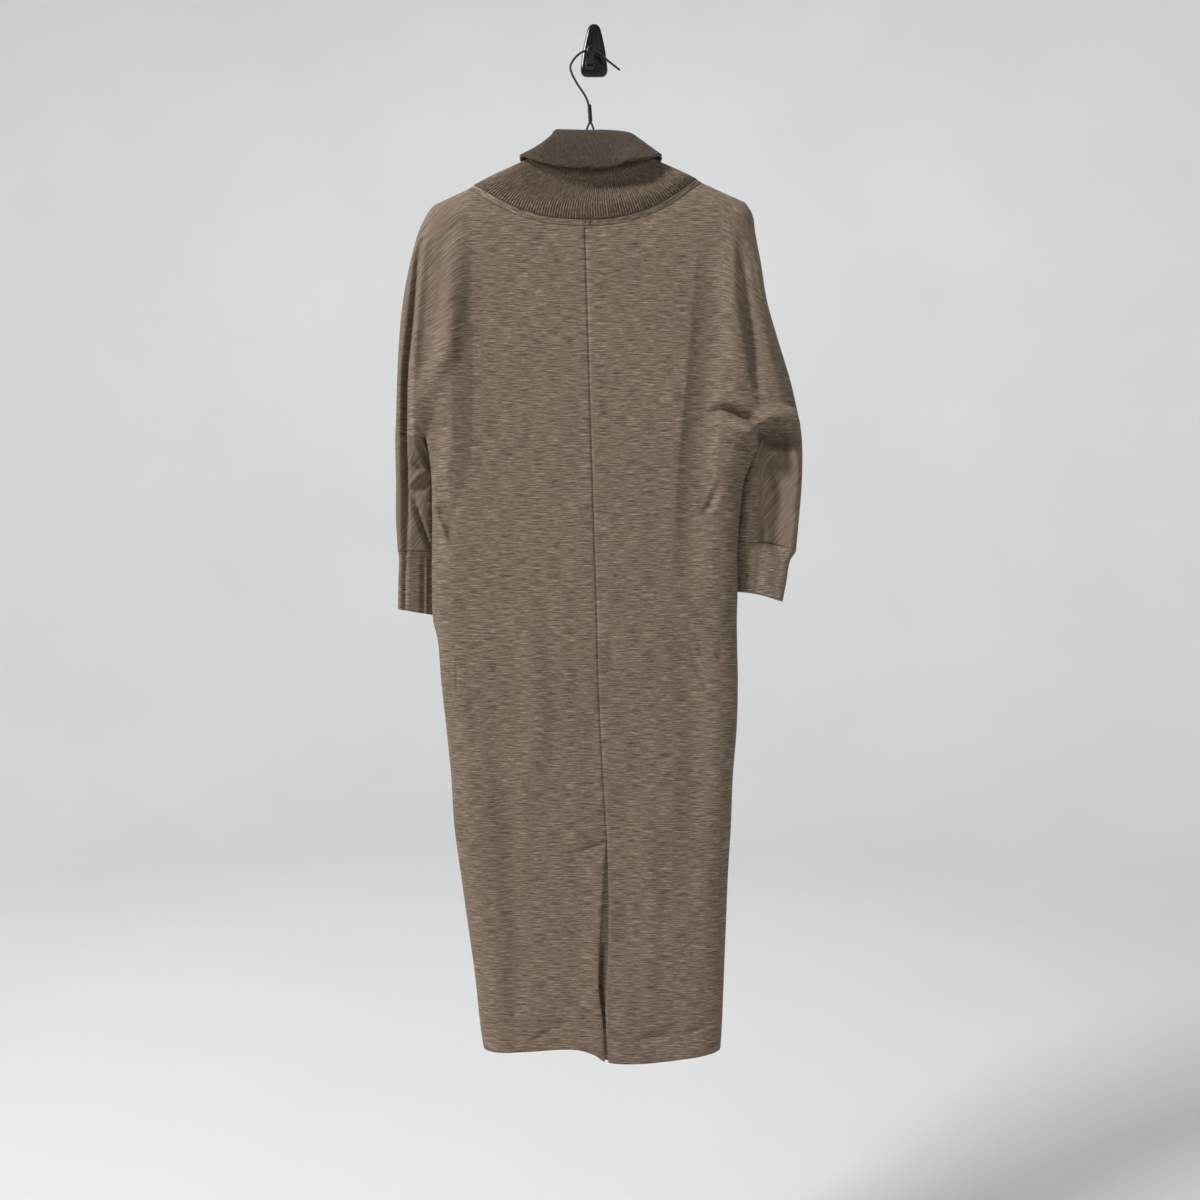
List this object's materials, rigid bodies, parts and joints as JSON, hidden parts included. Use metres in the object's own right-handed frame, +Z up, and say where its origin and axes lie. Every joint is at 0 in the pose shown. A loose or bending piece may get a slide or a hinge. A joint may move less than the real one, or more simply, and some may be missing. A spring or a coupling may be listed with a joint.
{
  "type": "sweater dress on a wire hanger and adhesive wall hook",
  "caption": "Knitted midi dress with a folded rib collar, batwing sleeves and a back vent, hung on a wire hanger and a wall hook.",
  "frame": {"origin": "centre of the flat back face of the wall hook, on the wall plane", "axes": "+Z up, +Y into the wall; the garment's back faces -Y and +X is the viewer's right"},
  "size_m": [0.5213, 0.066, 1.3336],
  "materials": {
    "knit": "fine heathered jersey knit, matte with a soft fuzz",
    "rib": "fine rib knit, matte",
    "wire": "black coated wire",
    "hook_plastic": "black glossy moulded plastic"
  },
  "bodies": {
    "root": {"back_left": "knit", "back_right": "knit", "front": "knit", "neck_band": "knit", "vent_underlap": "knit", "collar": "rib", "cuff_left": "rib", "cuff_right": "rib", "wire_hanger": "wire", "wall_hook": "hook_plastic"}
  },
  "joints": []
}
